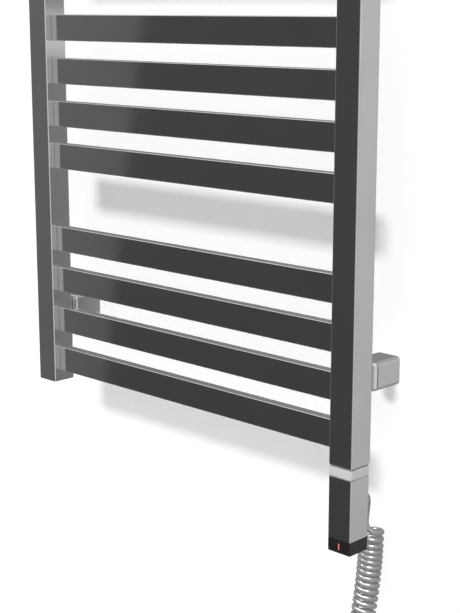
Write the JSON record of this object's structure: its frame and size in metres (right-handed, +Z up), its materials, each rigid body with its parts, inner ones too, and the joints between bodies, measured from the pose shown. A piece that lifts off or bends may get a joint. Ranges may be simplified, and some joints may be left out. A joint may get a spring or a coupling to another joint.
{
  "type": "towel warmer rack",
  "caption": "Wall-mounted heated towel rack: flat horizontal bars between two square uprights, wall brackets behind, and an electric element with a curly cord below one upright.",
  "frame": {"origin": "on the wall plane, in the middle of the rectangle of the four wall brackets, which is also the middle of the rack's width and of the uprights' height", "axes": "+X along the bars to the upright with the heating element, +Y into the wall, +Z up; the front faces -Y"},
  "size_m": [0.5, 0.075, 1.3454],
  "materials": {
    "chrome": "polished chrome plate on steel",
    "steel": "plain machined steel",
    "brass": "turned brass",
    "pale_plastic": "off-white moulded plastic",
    "black_plastic": "black moulded plastic",
    "grey_plastic": "grey moulded plastic",
    "cord_sheath": "smooth grey plastic cord sheath",
    "rubber": "matt grey sealing rubber",
    "board": "lacquered green circuit board",
    "red_window": "lit red light window",
    "dark_window": "unlit dark light window"
  },
  "bodies": {
    "rack": {"post_left": "chrome", "post_right": "chrome", "bar_01": "chrome", "bar_02": "chrome", "bar_03": "chrome", "bar_04": "chrome", "bar_05": "chrome", "bar_06": "chrome", "bar_07": "chrome", "bar_08": "chrome", "bar_09": "chrome", "bar_10": "chrome", "bar_11": "chrome", "bar_12": "chrome", "bar_13": "chrome", "bar_14": "chrome", "bar_15": "chrome", "bar_16": "chrome", "top_cap_left": "chrome", "top_cap_right": "chrome", "vent_plug": "chrome", "socket_left": "steel", "socket_right": "steel", "blanking_plug": "chrome", "bracket_block_upper_left": "chrome", "bracket_neck_upper_left": "chrome", "bracket_core_upper_left": "steel", "bracket_grub_upper_left": "steel", "bracket_block_upper_right": "chrome", "bracket_neck_upper_right": "chrome", "bracket_core_upper_right": "steel", "bracket_grub_upper_right": "steel", "bracket_block_lower_left": "chrome", "bracket_neck_lower_left": "chrome", "bracket_core_lower_left": "steel", "bracket_grub_lower_left": "steel", "bracket_block_lower_right": "chrome", "bracket_neck_lower_right": "chrome", "bracket_core_lower_right": "steel", "bracket_grub_lower_right": "steel", "element_bush": "brass", "element_gasket": "rubber", "heating_rod": "steel", "temperature_probe": "steel", "element_collar": "pale_plastic", "element_housing": "chrome", "end_cap": "black_plastic", "light_power": "red_window", "light_timer": "dark_window", "button_spring": "steel", "control_board": "board", "cord_elbow": "grey_plastic", "cord_lead": "cord_sheath", "cord_coil": "cord_sheath", "cord_tail": "cord_sheath", "plug_body": "grey_plastic", "plug_pin_left": "steel", "plug_pin_right": "steel"},
    "push_button": {"push_button": "black_plastic"},
    "bleed_screw": {"bleed_screw": "brass"}
  },
  "joints": [
    {"name": "push_button_press", "type": "slide", "parent": "rack", "child": "push_button", "axis": [0, 0, 1], "range_m": [0, 0.0012], "stiffness_N_per_m": 600, "springref_m": -0.002, "deforming": ["button_spring"]},
    {"name": "bleed_screw_turn", "type": "hinge", "parent": "rack", "child": "bleed_screw", "pos_m": [0.235, -0.06, 0.4783], "axis": [0, 0, 1], "range_deg": [0, 180]}
  ]
}
